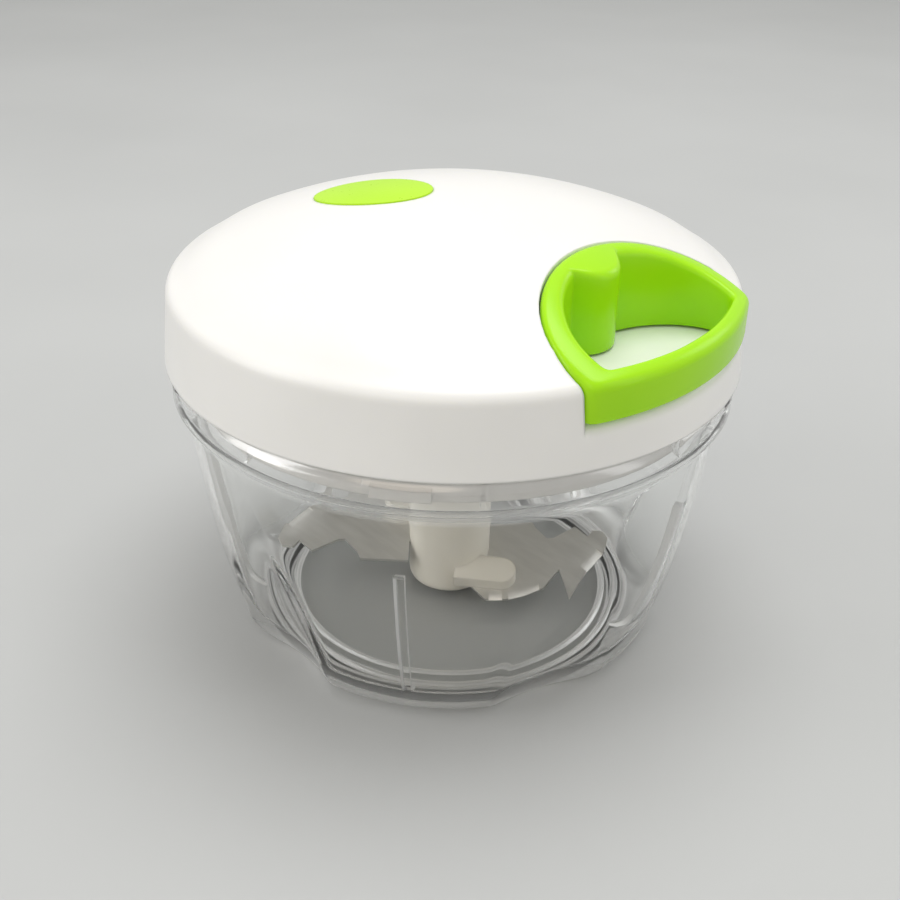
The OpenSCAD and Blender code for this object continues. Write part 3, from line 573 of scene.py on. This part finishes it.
def even(points, n, trim):
    """n points at even steps along a line, with its two ends cut back by trim."""
    lengths = np.linalg.norm(np.diff(points, axis=0), axis=1)
    along = np.concatenate([[0], np.cumsum(lengths)])
    at = np.linspace(trim, along[-1] - trim, n)
    return np.stack([np.interp(at, along, points[:, k]) for k in (0, 1)], 1)


def rounded_loop(front_r, depth, half, corner):
    """Outline of the loop with its two front corners rounded."""
    back, front = loop_lines(front_r, depth, half)
    tips = front[0], front[-1]
    back, front = even(back, 240, corner), even(front, 90, corner)
    first = curve(back[-1], tips[0], front[0], 9)[1:-1]
    second = curve(front[-1], tips[1], back[0], 9)[1:-1]
    return np.concatenate([back, first, front, second])


def with_boss(loop):
    """The inner outline, swelled at its inner end by the boss."""
    loop = loop.copy()
    near = (np.abs(loop[:, 1]) < BOSS_REACH_Y) & (loop[:, 0] < BOSS_REACH_X)
    y = np.abs(loop[near, 1])
    x = BOSS_X + np.sqrt(np.maximum(BOSS_R**2 - y**2, 0)) - 2 * np.maximum(y - BOSS_R, 0)
    loop[near, 0] = -soft_min(-loop[near, 0], -x, BOSS_SOFT)
    return loop


def handle_section(outer, inner):
    """Closed section between an outer and an inner point, with its four edges rounded."""
    width = np.linalg.norm(inner - outer)
    across = (inner - outer) / width
    top = min(TOP_EDGE, width * TOP_EDGE_SHARE)
    low_corners = ((LOW_EDGE, LOW_EDGE, LOW_EDGE, 180), (width - LOW_EDGE, LOW_EDGE, LOW_EDGE, 270))
    top_corners = ((width - top, -top, top, 0), (top, -top, top, 90))
    ring = []
    for cx, cz, r, start in low_corners + top_corners:
        for dx, dz in arc(cx, cz, r, start, start + 90, 6):
            x, y = outer + across * dx
            base = HANDLE_LOW if cz > 0 else handle_top(x, y)
            ring.append((x, y, base + dz))
    return ring


def handle_mesh():
    outer = rounded_loop(FRONT_R, OUTER_DEPTH, OUTER_HALF, OUTER_CORNER)
    inner = with_boss(rounded_loop(FRONT_R - BAR_T, INNER_DEPTH, INNER_HALF, INNER_CORNER))
    sections = [handle_section(o, i) for o, i in zip(outer, inner)]
    n, count = len(sections[0]), len(sections)
    faces = []
    for i in range(count):
        faces += band(ring_numbers(i, n), ring_numbers((i + 1) % count, n))
    return add_mesh("handle_loop", [p for section in sections for p in section], faces)


dress(handle_mesh(), green, "green_plastic", "handle", "handle")

# Cord from the reel to the knot: it draws out of the lid as the handle is pulled
CORD_Z, CORD_R, CORD_SIDES = 82.85, 1.0, 14
WIND_R, BEND_X, BEND_R = 22.25, 26.0, 4.0
KNOT_X = 34.3


def cord_path():
    """Line of the cord seen from above: off the reel, round the bend and straight to the knot."""
    leave = math.acos(WIND_R / BEND_X)
    turn = math.pi / 2 - leave
    start = np.array([WIND_R * math.cos(leave), -WIND_R * math.sin(leave)])
    heading = np.array([math.cos(turn), math.sin(turn)])
    length = BEND_R * math.tan(turn / 2)
    bend_in = np.array([BEND_X, 0]) - length * heading
    path = [start + (bend_in - start) * t for t in np.linspace(0.02, 1, 8)]
    for q in np.linspace(turn, 0, 9)[1:]:
        path.append((BEND_X + length - BEND_R * math.sin(q), BEND_R * math.cos(q) - BEND_R))
    path += [(x, 0.0) for x in np.linspace(BEND_X + length + 0.2, KNOT_X, 90)]
    return np.array(path)


def cord_mesh():
    path = cord_path()
    heading = np.gradient(path, axis=0)
    heading /= np.linalg.norm(heading, axis=1)[:, None]
    verts, faces = [], []
    for p, h in zip(path, heading):
        side = np.array([h[1], -h[0]])
        for k in range(CORD_SIDES):
            q = 2 * math.pi * k / CORD_SIDES
            x, y = p + side * CORD_R * math.cos(q)
            verts.append((x, y, CORD_Z + CORD_R * math.sin(q)))
    for i in range(len(path) - 1):
        faces += band(ring_numbers(i, CORD_SIDES), ring_numbers(i + 1, CORD_SIDES))
    faces.append(tuple(ring_numbers(0, CORD_SIDES))[::-1])
    faces.append(tuple(ring_numbers(len(path) - 1, CORD_SIDES)))
    return add_mesh("pull_cord", verts, faces)


cord = dress(cord_mesh(), cord_mat, "cord", None, "cord_lead")
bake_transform(cord)

# Floor that the chopper stands on
STAGE_HALF, STAGE_TONE_SCALE = 6000, 6.0
floor_mat, tree, bsdf = new_material("floor")
tone = noise(tree, STAGE_TONE_SCALE)
tree.links.new(ramp(tree, tone, (0.485, 0.492, 0.488), (0.515, 0.522, 0.518)), bsdf.inputs["Base Color"])
tree.links.new(span(tree, tone, 0.6, 0.7), bsdf.inputs["Roughness"])
set_input(bsdf, "Specular IOR Level", 0.25)
corners = [(x * STAGE_HALF, y * STAGE_HALF, 0) for x, y in ((-1, -1), (1, -1), (1, 1), (-1, 1))]
floor = add_mesh("floor", corners, [(0, 1, 2, 3)], False)
floor.data.materials.append(floor_mat)

# Light: offsets are to the viewer's right and towards the viewer
VIEW = math.radians(40.0)
VIEW_RIGHT = Vector((math.cos(VIEW), math.sin(VIEW), 0))
VIEW_NEAR = Vector((math.sin(VIEW), -math.cos(VIEW), 0))
LIT_POINT = Vector((0, 0, 0.05))


def area_light(name, side, toward, height, size, power, color=(1, 1, 1), width=0.0):
    """Soft round light, or an upright rectangle where a width is given."""
    data = bpy.data.lights.new(name, "AREA")
    data.shape = "RECTANGLE" if width else "DISK"
    data.size = width or size
    if width:
        data.size_y = size
    data.energy = power
    data.color = color
    lamp = bpy.data.objects.new(name, data)
    scene.collection.objects.link(lamp)
    lamp.location = VIEW_RIGHT * side + VIEW_NEAR * toward + Vector((0, 0, height))
    lamp.rotation_euler = (LIT_POINT - lamp.location).to_track_quat("-Z", "Y").to_euler()


area_light("key", side=0.12, toward=-0.15, height=1.15, size=0.9, power=7.7)
area_light("front", side=-0.3, toward=1.0, height=0.7, size=0.8, power=1.2, color=(1.0, 0.86, 0.70))
area_light("right", side=0.8, toward=-0.35, height=0.5, size=0.4, power=0.7)
area_light("left", side=-0.75, toward=0.2, height=0.4, size=0.7, power=1.9, width=0.4)
area_light("fill", side=0.75, toward=0.35, height=0.35, size=0.7, power=0.4, width=0.2)

world = bpy.data.worlds.new("studio")
scene.world = world
world.use_nodes = True
sky = world.node_tree.nodes["Background"]
set_input(sky, "Color", (1.0, 0.995, 0.97, 1))
set_input(sky, "Strength", 0.58)
scene.view_settings.view_transform = "Standard"
scene.cycles.max_bounces = 28
scene.cycles.transmission_bounces = 28
scene.cycles.transparent_max_bounces = 24

# Camera: placed as fitted to the photograph
ELEVATION, ROLL = math.radians(28.75), math.radians(1.09)
AIM, DISTANCE = Vector((0, 0, 0.045)), 0.2763
back = VIEW_NEAR * math.cos(ELEVATION) + Vector((0, 0, math.sin(ELEVATION)))
up = back.cross(VIEW_RIGHT)
camera_right = VIEW_RIGHT * math.cos(ROLL) + up * math.sin(ROLL)
camera_up = up * math.cos(ROLL) - VIEW_RIGHT * math.sin(ROLL)
spot = AIM + back * DISTANCE
lens = bpy.data.cameras.new("camera")
lens.lens = 48.0
lens.sensor_width = 36.0
lens.shift_x = -0.00197
lens.shift_y = -0.0328
lens.clip_start = 0.01
lens.clip_end = 50.0
camera = bpy.data.objects.new("camera", lens)
scene.collection.objects.link(camera)
rows = [(camera_right[i], camera_up[i], back[i], spot[i]) for i in range(3)]
camera.matrix_world = Matrix(rows + [(0, 0, 0, 1)])
scene.camera = camera
